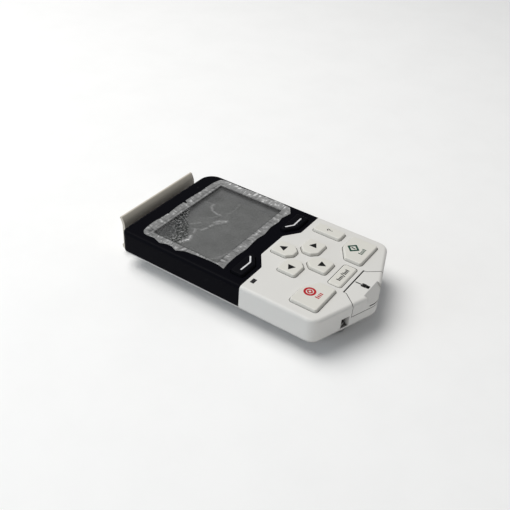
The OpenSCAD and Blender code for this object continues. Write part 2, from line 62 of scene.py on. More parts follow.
DUST_COLOUR = (0.42, 0.41, 0.39)
# Near-black colour of the painted shade in narrow hollows
PAINTED_SHADE_COLOUR = (0.012, 0.008, 0.006)
SOLDER_MASK = (0.005, 0.085, 0.032)
MASK_OVER_COPPER = (0.010, 0.165, 0.060)
SOLDER_TIN = (0.62, 0.60, 0.55)


def middle(node):
    """Middle of a node's box, at the height of its top."""
    low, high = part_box(node)
    return Vector(((low.x + high.x) / 2, (low.y + high.y) / 2, high.z))


def tint(name, description, colour):
    return FloatVectorProperty(
        name=name, description=description, subtype="COLOR", size=3, min=0, max=1, default=colour
    )


def length(name, description, default, low, high):
    return FloatProperty(
        name=name, description=description, default=default, min=low, max=high, unit="LENGTH"
    )


def share(name, description, default):
    return FloatProperty(
        name=name, description=description, default=default, min=0, max=1, subtype="FACTOR"
    )


class HANDPANEL_PG_colours(bpy.types.PropertyGroup):
    """Colours of the panel's plastics, prints and film"""

    white_shell: tint("White shell", "Lower front shell and port cover", (0.70, 0.69, 0.665))
    key: tint("Keys", "Keys of the lower shell", (0.70, 0.685, 0.635))
    black_shell: tint("Black shell", "Upper front shell", (0.0028, 0.0028, 0.0046))
    softkey: tint("Softkeys", "The two keys below the display", (0.0034, 0.0034, 0.0050))
    rear: tint("Rear cover", "Rear cover and battery lid", (0.58, 0.57, 0.55))
    latch: tint("Latch", "Spring tongue at the top end", (0.62, 0.575, 0.495))
    lcd: tint("Display glass", "Display while it is off", (0.025, 0.027, 0.023))
    film: tint("Film", "Creased protective film", (0.42, 0.42, 0.42))
    stop_ink: tint("Stop ink", "Print on the stop key", (0.40, 0.012, 0.018))
    start_ink: tint("Start ink", "Print on the start key", (0.010, 0.055, 0.036))
    black_ink: tint("Black ink", "Arrows and other signs", (0.005, 0.005, 0.005))
    silver_ink: tint("Silver ink", "Bent lines on the softkeys", (0.62, 0.62, 0.63))


class HANDPANEL_PG_signs(bpy.types.PropertyGroup):
    """Sizes of the printed signs"""

    thickness: length("Ink thickness", "Height of the ink above a key", 0.03 * MM, 0.01 * MM, 0.1 * MM)
    arrow_width: length("Arrow width", "Base of an arrow sign", 4.1 * MM, 1 * MM, 6 * MM)
    arrow_length: length("Arrow length", "Length of an arrow sign", 3.5 * MM, 1 * MM, 6 * MM)
    arrow_shift: length("Arrow shift", "Outward from the middle of its key", 1.7 * MM, 0, 4 * MM)
    ring: length("Stop sign", "Outer width of the stop key's ring", 5.7 * MM, 3 * MM, 9 * MM)
    diamond: length("Start sign", "Outer width of the start key's diamond", 6.6 * MM, 3 * MM, 9 * MM)
    line_width: length("Softkey line", "Width of the bent lines", 0.75 * MM, 0.3 * MM, 1.5 * MM)


class HANDPANEL_PG_film(bpy.types.PropertyGroup):
    """The protective film over the display"""

    spacing: length("Mesh spacing", "Distance between the film's points", 0.3 * MM, 0.15 * MM, 2 * MM)
    thickness: length("Thickness", "Thickness of the film", 0.06 * MM, 0.03 * MM, 0.2 * MM)
    crease: length("Crease height", "Height of the creases round the display", 0.24 * MM, 0, 1 * MM)
    haze: share("Haze", "How milky the film is over the display", 0.15)
    edge_haze: share("Edge haze", "How milky the film is round the display", 0.39)


class HANDPANEL_PG_stage(bpy.types.PropertyGroup):
    """Camera and light"""

    lens: FloatProperty(name="Lens", description="Focal length", default=50.77, min=20, max=200)
    sky: FloatProperty(name="Sky", description="Strength of the even light", default=0.30, min=0, max=3)
    lamp: FloatProperty(
        name="Lamp", description="Power of the large lamp. The side lamp has a share of it",
        default=12.0, min=0, max=60, unit="POWER"
    )
    rounded_edges: BoolProperty(
        name="Rounded edges", description="Shade the moulded edges as slightly rounded", default=True
    )


def settings():
    return bpy.context.scene.hand_panel


class HANDPANEL_PG_all(bpy.types.PropertyGroup):
    """All settings of the handheld control panel"""

    colours: PointerProperty(type=HANDPANEL_PG_colours)
    signs: PointerProperty(type=HANDPANEL_PG_signs)
    film: PointerProperty(type=HANDPANEL_PG_film)
    stage: PointerProperty(type=HANDPANEL_PG_stage)


# ---------------------------------------------------------------- shader building


class Nodes:
    """Adds nodes to a material's or group's tree, left to right."""

    def __init__(self, tree):
        self.tree = tree
        self.column = 0

    def add(self, kind, values=None, **settings_):
        node = self.tree.nodes.new(kind)
        self.column += 1
        node.location = (self.column * 190, -(self.column % 4) * 140)
        for name, value in settings_.items():
            setattr(node, name, value)
        for name, value in (values or {}).items():
            socket = node.inputs[name]
            if isinstance(value, bpy.types.NodeSocket):
                self.tree.links.new(value, socket)
            else:
                socket.default_value = value
        return node

    def math(self, operation, a, b=None, clamp=False):
        values = {0: a} if b is None else {0: a, 1: b}
        return self.add("ShaderNodeMath", values, operation=operation, use_clamp=clamp).outputs[0]

    def band(self, value, low, high, to_low=0.0, to_high=1.0):
        """value from low to high becomes to_low to to_high, smoothly and clamped."""
        node = self.add(
            "ShaderNodeMapRange",
            {0: value, 1: low, 2: high, 3: to_low, 4: to_high},
            interpolation_type="SMOOTHSTEP",
        )
        return node.outputs[0]

    def mix(self, factor, a, b, blend="MIX"):
        node = self.add("ShaderNodeMix", data_type="RGBA", blend_type=blend, clamp_factor=True)
        for socket, value in zip((node.inputs[0], node.inputs[6], node.inputs[7]), (factor, a, b)):
            if isinstance(value, bpy.types.NodeSocket):
                self.tree.links.new(value, socket)
            elif isinstance(value, (int, float)):
                socket.default_value = value
            else:
                socket.default_value = (*value[:3], 1)
        return node.outputs[2]

    def noise(self, point, scale, detail=2.0, roughness=0.5):
        values = {"Vector": point, "Scale": scale, "Detail": detail, "Roughness": roughness}
        return self.add("ShaderNodeTexNoise", values).outputs[0]

    def bump(self, height, strength, distance, normal=None):
        values = {"Height": height, "Strength": strength, "Distance": distance}
        if normal is not None:
            values["Normal"] = normal
        return self.add("ShaderNodeBump", values).outputs[0]

    def place(self):
        return self.add("ShaderNodeTexCoord").outputs["Object"]


def group(name, inputs, outputs):
    """An empty effect group with float inputs {name: default} and outputs {name: socket type}."""
    tree = bpy.data.node_groups.new(name, "ShaderNodeTree")
    for label, default in inputs.items():
        socket = tree.interface.new_socket(label, in_out="INPUT", socket_type="NodeSocketFloat")
        socket.default_value = default
    for label, kind in outputs.items():
        tree.interface.new_socket(label, in_out="OUTPUT", socket_type=kind)
    nodes = Nodes(tree)
    return nodes, nodes.add("NodeGroupInput"), tree


def finish_group(nodes, **values):
    out = nodes.add("NodeGroupOutput")
    for label, socket in values.items():
        nodes.tree.links.new(socket, out.inputs[label.replace("_", " ")])


def moulded_grain():
    """Fine spark-eroded texture of a moulding tool, with faint flow marks."""
    nodes, given, tree = group(
        "Moulded Grain",
        {"Grain Scale": 2600.0, "Flow Scale": 45.0},
        {"Height": "NodeSocketFloat", "Flow": "NodeSocketFloat"},
    )
    point = nodes.place()
    fine = nodes.noise(point, given.outputs["Grain Scale"], detail=3.0, roughness=0.6)
    pits = nodes.add(
        "ShaderNodeTexVoronoi", {"Vector": point, "Scale": given.outputs["Grain Scale"]}
    ).outputs["Distance"]
    height = nodes.math("ADD", nodes.math("MULTIPLY", fine, 0.65), nodes.math("MULTIPLY", pits, 0.35))
    flow = nodes.noise(point, given.outputs["Flow Scale"], detail=3.0, roughness=0.55)
    finish_group(nodes, Height=height, Flow=flow)
    return tree


def handling_marks():
    """Smudges where hands have been, specks of dust and short hairline scratches."""
    nodes, given, tree = group(
        "Handling Marks",
        {"Smudge Scale": 28.0, "Dust Scale": 700.0, "Dust Share": 0.06},
        {"Smudge": "NodeSocketFloat", "Dust": "NodeSocketFloat", "Scratch": "NodeSocketFloat"},
    )
    point = nodes.place()
    broad = nodes.noise(point, given.outputs["Smudge Scale"], detail=4.0, roughness=0.62)
    smudge = nodes.band(broad, 0.47, 0.68)
    cells = nodes.add(
        "ShaderNodeTexVoronoi", {"Vector": point, "Scale": given.outputs["Dust Scale"]}
    )
    speck = nodes.band(cells.outputs["Distance"], 0.06, 0.16, 1.0, 0.0)
    chosen = nodes.math("LESS_THAN", cells.outputs["Color"], given.outputs["Dust Share"])
    dust = nodes.math("MULTIPLY", speck, chosen)
    stretched = nodes.add(
        "ShaderNodeMapping", {"Vector": point, "Rotation": (0, 0, 0.7), "Scale": (12, 420, 60)}
    ).outputs[0]
    line = nodes.noise(stretched, 1.0, detail=1.0, roughness=0.4)
    scratch = nodes.band(line, 0.735, 0.76)
    finish_group(nodes, Smudge=smudge, Dust=dust, Scratch=scratch)
    return tree


def edge_wear_and_sheen():
    """Rounds a moulding's edges for the light, and says where they are worn and get a painted highlight."""
    nodes, given, tree = group(
        "Edge Rub",
        {"Radius": 0.0003},
        {"Normal": "NodeSocketVector", "Rub": "NodeSocketFloat"},
    )
    bevel = nodes.add("ShaderNodeBevel", {"Radius": given.outputs["Radius"]}, samples=6)
    geometry = nodes.add("ShaderNodeNewGeometry")
    dot = nodes.add(
        "ShaderNodeVectorMath",
        {0: bevel.outputs[0], 1: geometry.outputs["Normal"]},
        operation="DOT_PRODUCT",
    ).outputs["Value"]
    # Mask of the rounded edges, for wear and for a painted highlight
    wear_and_sheen = nodes.band(dot, 0.80, 0.985, 1.0, 0.0)
    finish_group(nodes, Normal=bevel.outputs[0], Rub=wear_and_sheen)
    return tree


def hollow_shade():
    """Says how deep a spot lies in a narrow hollow, where a painted shade darkens the moulding."""
    nodes, given, tree = group("Hollow Shade", {"Reach": 0.0065}, {"Hollow": "NodeSocketFloat"})
    open_sky = nodes.add(
        "ShaderNodeAmbientOcclusion", {"Distance": given.outputs["Reach"]}, samples=6
    ).outputs["AO"]
    finish_group(nodes, Hollow=nodes.band(open_sky, 0.26, 0.70, 1.0, 0.0))
    return tree


# Shared effect groups made so far, by name
EFFECTS = {}


def effect(nodes, name, **values):
    """Places a shared effect group in a material, made when it is first asked for."""
    makers = {"grain": moulded_grain, "marks": handling_marks, "edge": edge_wear_and_sheen, "painted_shade": hollow_shade}
    if name not in EFFECTS:
        EFFECTS[name] = makers[name]()
    node = nodes.add("ShaderNodeGroup", node_tree=EFFECTS[name])
    for label, value in values.items():
        node.inputs[label.replace("_", " ")].default_value = value
    return node.outputs


def blank_material(name):
    material = bpy.data.materials.new(name)
    material.use_nodes = True
    material.node_tree.nodes.clear()
    return material, Nodes(material.node_tree)


def surface(nodes, **values):
    """The Principled shader and the output, with socket names written with underscores."""
    shader = nodes.add("ShaderNodeBsdfPrincipled")
    for label, value in values.items():
        socket = shader.inputs[label.replace("_", " ")]
        if isinstance(value, bpy.types.NodeSocket):
            nodes.tree.links.new(value, socket)
        elif socket.type == "RGBA":
            socket.default_value = (*value[:3], 1)
        else:
            socket.default_value = value
    out = nodes.add("ShaderNodeOutputMaterial")
    nodes.tree.links.new(shader.outputs[0], out.inputs[0])


def scaled(colour, factor):
    return tuple(min(1.0, c * factor) for c in colour[:3])


def moulded_plastic(name, colour, roughness, grain=2600.0, depth=0.02, radius=0.3 * MM,
                    mottle=0.10, dust=0.04, wear_and_sheen=0.35, gloss=0.5, painted_shade=0.0):
    """Injection-moulded plastic: fine grain, soft mottling, smudges, dust, edges lightened by wear and a
    painted highlight, and painted shade in narrow hollows where asked for.
    """
    material, nodes = blank_material(name)
    texture = effect(nodes, "grain", Grain_Scale=grain)
    marks = effect(nodes, "marks", Dust_Share=dust)
    edge = effect(nodes, "edge", Radius=radius)
    tinted = nodes.mix(nodes.math("MULTIPLY", texture["Flow"], mottle), colour, scaled(colour, 0.62))
    smudged = nodes.mix(nodes.math("MULTIPLY", marks["Smudge"], 0.05), tinted, scaled(colour, 0.7))
    dusted = nodes.mix(nodes.math("MULTIPLY", marks["Dust"], 0.35), smudged, DUST_COLOUR)
    # Edges are lightened: partly wear, partly a painted highlight along them
    colour_with_edge_wear_and_sheen = nodes.mix(
        nodes.math("MULTIPLY", edge["Rub"], wear_and_sheen * 0.4), dusted, scaled([c + 0.03 for c in colour], 1.18)
    )
    # Painted shade: narrow hollows such as seams, pockets and the walls round keys are darkened towards
    # near-black
    if painted_shade:
        sunk = nodes.math("MULTIPLY", effect(nodes, "painted_shade")["Hollow"], painted_shade)
        colour_with_edge_wear_and_sheen = nodes.mix(sunk, colour_with_edge_wear_and_sheen, PAINTED_SHADE_COLOUR)
    rough = nodes.math("ADD", nodes.math("MULTIPLY", texture["Flow"], 0.10), roughness - 0.05)
    rough = nodes.math("SUBTRACT", rough, nodes.math("MULTIPLY", edge["Rub"], 0.10))
    rough = nodes.math("ADD", rough, nodes.math("MULTIPLY", marks["Smudge"], 0.07), clamp=True)
    rounded = edge["Normal"] if settings().stage.rounded_edges else None
    normal = nodes.bump(texture["Height"], 0.35, depth * MM, rounded)
    surface(nodes, Base_Color=colour_with_edge_wear_and_sheen, Roughness=rough, Normal=normal, Specular_IOR_Level=gloss)
    return material


def printed_ink(name, colour, roughness=0.42):
    """Pad-printed ink: a little uneven in cover and gloss."""
    material, nodes = blank_material(name)
    point = nodes.place()
    cover = nodes.noise(point, 1400.0, detail=4.0, roughness=0.7)
    uneven = nodes.mix(nodes.band(cover, 0.35, 0.75), colour, scaled([c + 0.004 for c in colour], 1.25))
    rough = nodes.math("ADD", nodes.math("MULTIPLY", cover, 0.2), roughness - 0.1)
    normal = nodes.bump(cover, 0.25, 0.01 * MM)
    surface(nodes, Base_Color=uneven, Roughness=rough, Normal=normal, Specular_IOR_Level=0.15)
    return material


def metal(name, colour, roughness, brushed=(30, 30, 900)):
    """Bare or plated metal, drawn or turned so that it has fine lines."""
    material, nodes = blank_material(name)
    point = nodes.place()
    lines = nodes.noise(nodes.add("ShaderNodeMapping", {"Vector": point, "Scale": brushed}).outputs[0], 20.0)
    stain = nodes.noise(point, 160.0, detail=4.0, roughness=0.6)
    tone = nodes.mix(nodes.band(stain, 0.4, 0.8), colour, scaled(colour, 0.72))
    rough = nodes.math("ADD", nodes.math("MULTIPLY", lines, 0.22), roughness - 0.08)
    edge = effect(nodes, "edge", Radius=0.1 * MM)
    normal = nodes.bump(lines, 0.2, 0.01 * MM, edge["Normal"])
    surface(nodes, Base_Color=tone, Metallic=1.0, Roughness=rough, Normal=normal)
    return material


def circuit_board(name):
    """Green solder mask with copper tracks under it and tinned pads."""
    material, nodes = blank_material(name)
    point = nodes.place()
    tracks = nodes.add(
        "ShaderNodeTexBrick",
        {"Vector": point, "Color1": (0, 0, 0, 1), "Color2": (1, 1, 1, 1),
         "Scale": 260.0, "Mortar Size": 0.07},
    )
    cells = nodes.add("ShaderNodeTexVoronoi", {"Vector": point, "Scale": 330.0}).outputs["Distance"]
    pads = nodes.band(cells, 0.10, 0.13, 1.0, 0.0)
    mask = nodes.mix(tracks.outputs["Fac"], SOLDER_MASK, MASK_OVER_COPPER)
    tone = nodes.mix(pads, mask, SOLDER_TIN)
    height = nodes.math("ADD", tracks.outputs["Fac"], pads)
    rough = nodes.band(pads, 0.0, 1.0, 0.32, 0.45)
    surface(nodes, Base_Color=tone, Metallic=pads, Roughness=rough, Normal=nodes.bump(height, 0.3, 0.03 * MM))
    return material


def display_glass(name, colour):
    """Display that is off: polariser glass over a faint grid of dots."""
    material, nodes = blank_material(name)
    point = nodes.place()
    grid = nodes.add(
        "ShaderNodeTexBrick",
        {"Vector": point, "Color1": (1, 1, 1, 1), "Color2": (0.86, 0.86, 0.86, 1),
         "Mortar": (0.5, 0.5, 0.5, 1), "Scale": 1000.0, "Mortar Size": 0.02,
         "Brick Width": 0.33, "Row Height": 0.33},
        offset=0.0,
    ).outputs["Color"]
    cloud = nodes.noise(point, 22.0, detail=3.0, roughness=0.5)
    tone = nodes.mix(nodes.band(cloud, 0.35, 0.7), colour, scaled(colour, 1.22))
    dotted = nodes.mix(0.35, tone, nodes.mix(1.0, tone, grid, "MULTIPLY"))
    rough = nodes.band(cloud, 0.2, 0.8, 0.20, 0.30)
    surface(nodes, Base_Color=dotted, Roughness=rough, Specular_IOR_Level=0.1)
    return material


def clear_pane(name):
    """Clear hard-coated window, with wipe marks and a few hairlines."""
    material, nodes = blank_material(name)
    marks = effect(nodes, "marks", Smudge_Scale=60.0, Dust_Share=0.08)
    seen = nodes.math("ADD", nodes.math("MULTIPLY", marks["Scratch"], 0.12), 0.05)
    seen = nodes.math("ADD", seen, nodes.math("MULTIPLY", marks["Dust"], 0.4), clamp=True)
    rough = nodes.math("ADD", nodes.math("MULTIPLY", marks["Smudge"], 0.10), 0.05)
    surface(nodes, Base_Color=(0.3, 0.32, 0.33), Roughness=rough, Alpha=seen, Specular_IOR_Level=0.12)
    return material


def creased_film(name, colour):
    """Thin clear film, milky where it is creased. The mesh says how milky in its haze attribute, which also
    holds painted glints that come out brighter.
    """
    material, nodes = blank_material(name)
    point = nodes.place()
    haze = nodes.add("ShaderNodeAttribute", attribute_name="haze").outputs["Fac"]
    crinkle = nodes.add(
        "ShaderNodeTexVoronoi", {"Vector": point, "Scale": 620.0}, feature="DISTANCE_TO_EDGE"
    ).outputs["Distance"]
    lines = nodes.band(crinkle, 0.0, 0.12, 1.0, 0.0)
    mottled = nodes.noise(point, 900.0, detail=3.0, roughness=0.65)
    lifted = nodes.band(haze, 0.42, 0.85)
    detail = nodes.math("ADD", nodes.math("MULTIPLY", lines, 0.30), nodes.math("SUBTRACT", mottled, 0.52))
    detail = nodes.math("MULTIPLY", detail, nodes.math("ADD", nodes.math("MULTIPLY", lifted, 0.75), 0.06))
    seen = nodes.math("ADD", haze, detail, clamp=True)
    bright = nodes.band(haze, 0.55, 1.0)
    tone = nodes.mix(bright, colour, scaled(colour, 1.9))
    height = nodes.math("ADD", mottled, nodes.math("MULTIPLY", lines, 0.5))
    normal = nodes.bump(height, nodes.band(lifted, 0.0, 1.0, 0.08, 0.55), 0.12 * MM)
    rough = nodes.band(lifted, 0.0, 1.0, 0.16, 0.34)
    surface(nodes, Base_Color=tone, Roughness=rough, Alpha=seen, Normal=normal, Specular_IOR_Level=0.12)
    return material


def matte_sheet(name, colour, roughness, scale, depth):
    """Foam, silicone or paper: one soft texture."""
    material, nodes = blank_material(name)
    point = nodes.place()
    cells = nodes.add("ShaderNodeTexVoronoi", {"Vector": point, "Scale": scale}).outputs["Distance"]
    cloud = nodes.noise(point, scale / 12, detail=3.0, roughness=0.6)
    tone = nodes.mix(nodes.band(cloud, 0.35, 0.75, 0.0, 0.35), colour, scaled(colour, 0.6))
    rough = nodes.math("ADD", nodes.math("MULTIPLY", cells, 0.12), roughness - 0.05, clamp=True)
    surface(nodes, Base_Color=tone, Roughness=rough, Normal=nodes.bump(cells, 0.4, depth * MM))
    return material


def glowless_lens(name, colour, roughness=0.12):
    """Tinted lens or light guide that isn't lit."""
    material, nodes = blank_material(name)
    cloud = nodes.noise(nodes.place(), 500.0, detail=3.0, roughness=0.6)
    tone = nodes.mix(nodes.band(cloud, 0.3, 0.8), colour, scaled(colour, 1.4))
    rough = nodes.math("ADD", nodes.math("MULTIPLY", cloud, 0.1), roughness)
    edge = effect(nodes, "edge", Radius=0.15 * MM)
    surface(nodes, Base_Color=tone, Roughness=rough, Normal=edge["Normal"], Coat_Weight=0.5)
    return material


def finishes():
    """One finish for the material slots of each group of CAD nodes, keyed by the nodes that take it."""
    colour = settings().colours
    return {
        # Some mouldings here get painted shade in their narrow hollows: the pockets, seams and key walls
        ("front_housing", "port_cover"): moulded_plastic(
            "White Moulding", colour.white_shell, 0.50, radius=0.35 * MM, painted_shade=0.95
        ),
        ("key_up", "key_down", "key_left", "key_right", "key_help", "key_mode", "key_start", "key_stop"):
            moulded_plastic("Key Plastic", colour.key, 0.46, radius=0.25 * MM, mottle=0.14, painted_shade=0.4),
        ("display_bezel",): moulded_plastic(
            "Black Moulding", colour.black_shell, 0.40, radius=0.35 * MM, dust=0.05, wear_and_sheen=0.3, gloss=0.02
        ),
        ("softkey_left", "softkey_right"): moulded_plastic(
            "Softkey Plastic", colour.softkey, 0.46, radius=0.25 * MM, dust=0.05, wear_and_sheen=0.2, gloss=0.03
        ),
        ("rear_cover", "battery_cover"): moulded_plastic(
            "Rear Cover Plastic", colour.rear, 0.55, grain=1800.0, depth=0.03, painted_shade=0.9
        ),
        ("latch_clip",): moulded_plastic("Latch Plastic", colour.latch, 0.48, mottle=0.3, wear_and_sheen=0.5),
        ("display_window",): clear_pane("Window Pane"),
        ("lcd_panel",): display_glass("Display Glass", colour.lcd),
        ("lcd_frame", "ribbon_connector"): moulded_plastic("Cream Plastic", (0.72, 0.70, 0.60), 0.5),
        ("lcd_ribbon",): matte_sheet("Ribbon Film", (0.42, 0.19, 0.03), 0.35, 900.0, 0.005),
        ("window_gasket", "battery_seal"): matte_sheet(
            "Black Foam", (0.012, 0.012, 0.012), 0.85, 2200.0, 0.05
        ),
        ("keypad_mat",): matte_sheet("Grey Silicone", (0.22, 0.23, 0.25), 0.6, 1500.0, 0.01),
        ("status_light_pipe",): glowless_lens("Smoked Plastic", (0.004, 0.004, 0.005)),
        ("status_led",): glowless_lens("Lamp Lens", (0.75, 0.73, 0.55)),
        ("main_board",): circuit_board("Green Board"),
        ("board_chips",): moulded_plastic("Chip Plastic", (0.012, 0.012, 0.013), 0.55, radius=0.1 * MM),
        ("board_capacitors",): moulded_plastic(
            "Capacitor Sleeve", (0.02, 0.035, 0.12), 0.35, radius=0.15 * MM
        ),
        ("usb_tongue", "panel_jack", "battery_holder"): moulded_plastic(
            "Black Socket Plastic", (0.014, 0.014, 0.014), 0.42, radius=0.12 * MM
        ),
        ("usb_socket",): metal("Tin Plate", (0.62, 0.62, 0.63), 0.28),
        ("jack_contacts", "battery_clip"): metal("Gold Plate", (0.72, 0.50, 0.17), 0.25),
        ("coin_cell",): metal("Cell Steel", (0.60, 0.60, 0.61), 0.24, (900, 30, 30)),
        ("case_screws",): metal("Zinc Plate", (0.45, 0.46, 0.48), 0.34, (300, 300, 30)),
        ("rear_label",): matte_sheet("Label Stock", (0.62, 0.62, 0.60), 0.5, 1200.0, 0.005),
    }


# ---------------------------------------------------------------- outlines and meshes


def eased(path, radius, steps=5, closed=False):
    """A path or outline with its corners rounded."""
    points = [Vector(p) for p in path]
    count = len(points)
    made = []
    for i, p in enumerate(points):
        if not closed and i in (0, count - 1):
            made.append(p)
            continue
        before, after = points[i - 1], points[(i + 1) % count]
        to_before, to_after = (before - p).normalized(), (after - p).normalized()
        half = to_before.angle(to_after) / 2
        reach = min(radius / math.tan(half), (before - p).length * 0.49, (after - p).length * 0.49)
        start, end = p + to_before * reach, p + to_after * reach
        for k in range(steps + 1):
            t = k / steps
            made.append((start * (1 - t) + p * t) * (1 - t) + (p * (1 - t) + end * t) * t)
    return made


def stroke(path, width, steps=6):
    """Outline of a line of that width along a path, with round ends."""
    points = [Vector(p) for p in path]
    left, right = [], []
    for i, p in enumerate(points):
        before = (p - points[i - 1]).normalized() if i else (points[1] - p).normalized()
        after = (points[i + 1] - p).normalized() if i < len(points) - 1 else before
        along = (before + after).normalized()
        out = Vector((-along.y, along.x)) * (width / 2 / max(0.5, along.dot(before)))
        left.append(p + out)
        right.append(p - out)

    def cap(centre, start):
        turn = [Matrix.Rotation(-math.pi * k / steps, 2) for k in range(1, steps)]
        return [centre + t @ (start - centre) for t in turn]

    return left + cap(points[-1], left[-1]) + right[::-1] + cap(points[0], right[0])


def circle(radius, centre=(0, 0), steps=48):
    return [
        Vector(centre) + radius * Vector((math.cos(a), math.sin(a)))
        for a in (2 * math.pi * k / steps for k in range(steps))
    ]


def box_outline(width, height, centre=(0, 0)):
    x, y = centre
    w, h = width / 2, height / 2
    return [Vector((x - w, y - h)), Vector((x + w, y - h)), Vector((x + w, y + h)), Vector((x - w, y + h))]


def turned(outline, angle):
    return [Matrix.Rotation(angle, 2) @ Vector(p) for p in outline]


def moved(outline, by):
    return [Vector(p) + Vector(by) for p in outline]


def link(obj):
    bpy.context.scene.collection.objects.link(obj)
    return obj


def inked(name, loops, place, material, body, sunk=0.04 * MM):
    """Flat ink in the shape of the loops, in millimetres round place. A loop in another is a hole."""
    thickness = settings().signs.thickness
    curve = bpy.data.curves.new(name, "CURVE")
    curve.dimensions = "2D"
    curve.fill_mode = "BOTH"
    curve.extrude = (thickness + sunk) / 2
    for loop in loops:
        spline = curve.splines.new("POLY")
        spline.points.add(len(loop) - 1)
        for point, p in zip(spline.points, loop):
            point.co = (p[0] * MM, p[1] * MM, 0, 1)
        spline.use_cyclic_u = True
    drawn = link(bpy.data.objects.new(name + "_outline", curve))
    drawn.location = Vector(place) + Vector((0, 0, (thickness - sunk) / 2))
    bpy.context.view_layer.update()
    graph = bpy.context.evaluated_depsgraph_get()
    mesh = bpy.data.meshes.new_from_object(drawn.evaluated_get(graph))
    mesh.name = name
    mesh.transform(drawn.matrix_world)
    bpy.data.objects.remove(drawn)
    mesh.materials.clear()
    mesh.materials.append(material)
    piece = link(bpy.data.objects.new(name, mesh))
    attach(piece, body)


def tick_row(heights, pitch=0.78, width=0.42):
    """A short row of upright strokes that stands where a key has its caption."""
    start = -(len(heights) - 1) * pitch / 2
    return [
        eased(box_outline(width, h, (start + k * pitch, (h - max(heights)) / 2)), 0.15, 2, True)
        for k, h in enumerate(heights)
    ]


# ---------------------------------------------------------------- operators


class HANDPANEL_OT_finishes(bpy.types.Operator):
    """Give every CAD part its finish"""

    bl_idname = "hand_panel.finishes"
    bl_label = "Finishes"

    def execute(self, context):
        for names, material in finishes().items():
            for name in names:
                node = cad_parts[name]
                for place in node.material_slots:
                    place.material = material
        return {"FINISHED"}


class HANDPANEL_OT_arrow_signs(bpy.types.Operator):
    """Print the arrows on the four arrow keys"""

    bl_idname = "hand_panel.arrow_signs"
    bl_label = "Arrow Signs"

    def execute(self, context):
        signs = settings().signs
        ink = printed_ink("Black Ink", settings().colours.black_ink)
        w, h = signs.arrow_width / MM / 2, signs.arrow_length / MM / 2
        triangle = eased([(0, h), (-w, -h), (w, -h)], 0.18, 3, True)
        for quarter, way in enumerate(("up", "left", "down", "right")):
            angle = quarter * math.pi / 2
            shift = turned([(0, signs.arrow_shift)], angle)[0]
            place = middle("key_" + way) + shift.to_3d()
            inked(f"sign_{way}", [turned(triangle, angle)], place, ink, f"key_{way}")
        return {"FINISHED"}


class HANDPANEL_OT_command_signs(bpy.types.Operator):
    """Print the stop, start, mode and help keys"""

    bl_idname = "hand_panel.command_signs"
    bl_label = "Stop, Start, Mode and Help Signs"

    # Where the signs stand from the middle of their keys
    STOP_SHIFT = Vector((0.35 * MM, 1.9 * MM, 0))
    START_SHIFT = Vector((0, 1.9 * MM, 0))
    HELP_SHIFT = Vector((0.35 * MM, 0, 0))

    # Shapes in millimetres
    RING_WIDTH = 1.05
    STOP_SQUARE, STOP_HOLE = 2.5, 1.1
    STOP_CAPTION_GAP = 1.75
    DIAMOND_LINES = 2.0
    START_CAPTION_DROP = 4.7
    MODE_BARS = [2.0, 1.5, 1.5, 1.5, 2.0, 1.5, 1.5, 2.0]
    MODE_SPREAD = 0.75
    HELP_HOOK = [(-0.75, 0.55), (-0.45, 1.25), (0.45, 1.25), (0.7, 0.5), (0, -0.05), (0, -0.6)]

    def execute(self, context):
        signs, colours = settings().signs, settings().colours
        stop_ink = printed_ink("Stop Ink", colours.stop_ink)
        start_ink = printed_ink("Start Ink", colours.start_ink)
        dark_ink = printed_ink("Dark Ink", colours.black_ink)
        self.stop(signs, stop_ink)
        self.start(signs, start_ink)
        row = tick_row(self.MODE_BARS, 1.0, 0.6)
        slash = stroke([(-0.45, -1.2), (0.45, 1.2)], 0.45)
        apart = self.MODE_SPREAD
        row = moved_all(row[:4], (-apart, 0)) + [slash] + moved_all(row[4:], (apart, 0))
        mode = middle("key_mode")
        inked("sign_mode", row, mode, dark_ink, "key_mode")
        hook = eased(self.HELP_HOOK, 0.4)
        help_place = middle("key_help") + self.HELP_SHIFT
        shapes = [stroke(hook, 0.38), circle(0.27, (0, -1.25), 16)]
        inked("sign_help", shapes, help_place, dark_ink, "key_help")
        return {"FINISHED"}

    def stop(self, signs, ink):
        """A thick ring round a small rounded square, with its caption strokes below."""
        place = middle("key_stop") + self.STOP_SHIFT
        outer = signs.ring / MM / 2
        square = turned(eased(box_outline(self.STOP_SQUARE, self.STOP_SQUARE), 0.8, 4, True), math.pi / 4)
        hole = turned(eased(box_outline(self.STOP_HOLE, self.STOP_HOLE), 0.3, 4, True), math.pi / 4)
        loops = [circle(outer), circle(outer - self.RING_WIDTH), square, hole]
        inked("sign_stop", loops, place, ink, "key_stop")
        caption = place + Vector((0, -(outer + self.STOP_CAPTION_GAP) * MM, 0))
        row = tick_row([2.2, 1.7, 1.7, 1.7], 1.1, 0.6)
        inked("caption_stop", row, caption, ink, "key_stop")

    def start(self, signs, ink):
        """A diamond outline round an upright bar, with its caption strokes below."""
        place = middle("key_start") + self.START_SHIFT
        side = signs.diamond / MM / math.sqrt(2)
        diamond = turned(eased(box_outline(side, side), 0.35, 3, True), math.pi / 4)
        inside = side - self.DIAMOND_LINES
        inner = turned(eased(box_outline(inside, inside), 0.2, 3, True), math.pi / 4)
        bar = eased(box_outline(0.75, 2.0), 0.12, 2, True)
        inked("sign_start", [diamond, inner, bar], place, ink, "key_start")
        caption = place + Vector((0, -self.START_CAPTION_DROP * MM, 0))
        row = tick_row([2.2, 1.6, 1.6, 1.6, 2.0], 1.0, 0.55)
        inked("caption_start", row, caption, ink, "key_start")


def moved_all(outlines, by):
    return [moved(outline, by) for outline in outlines]


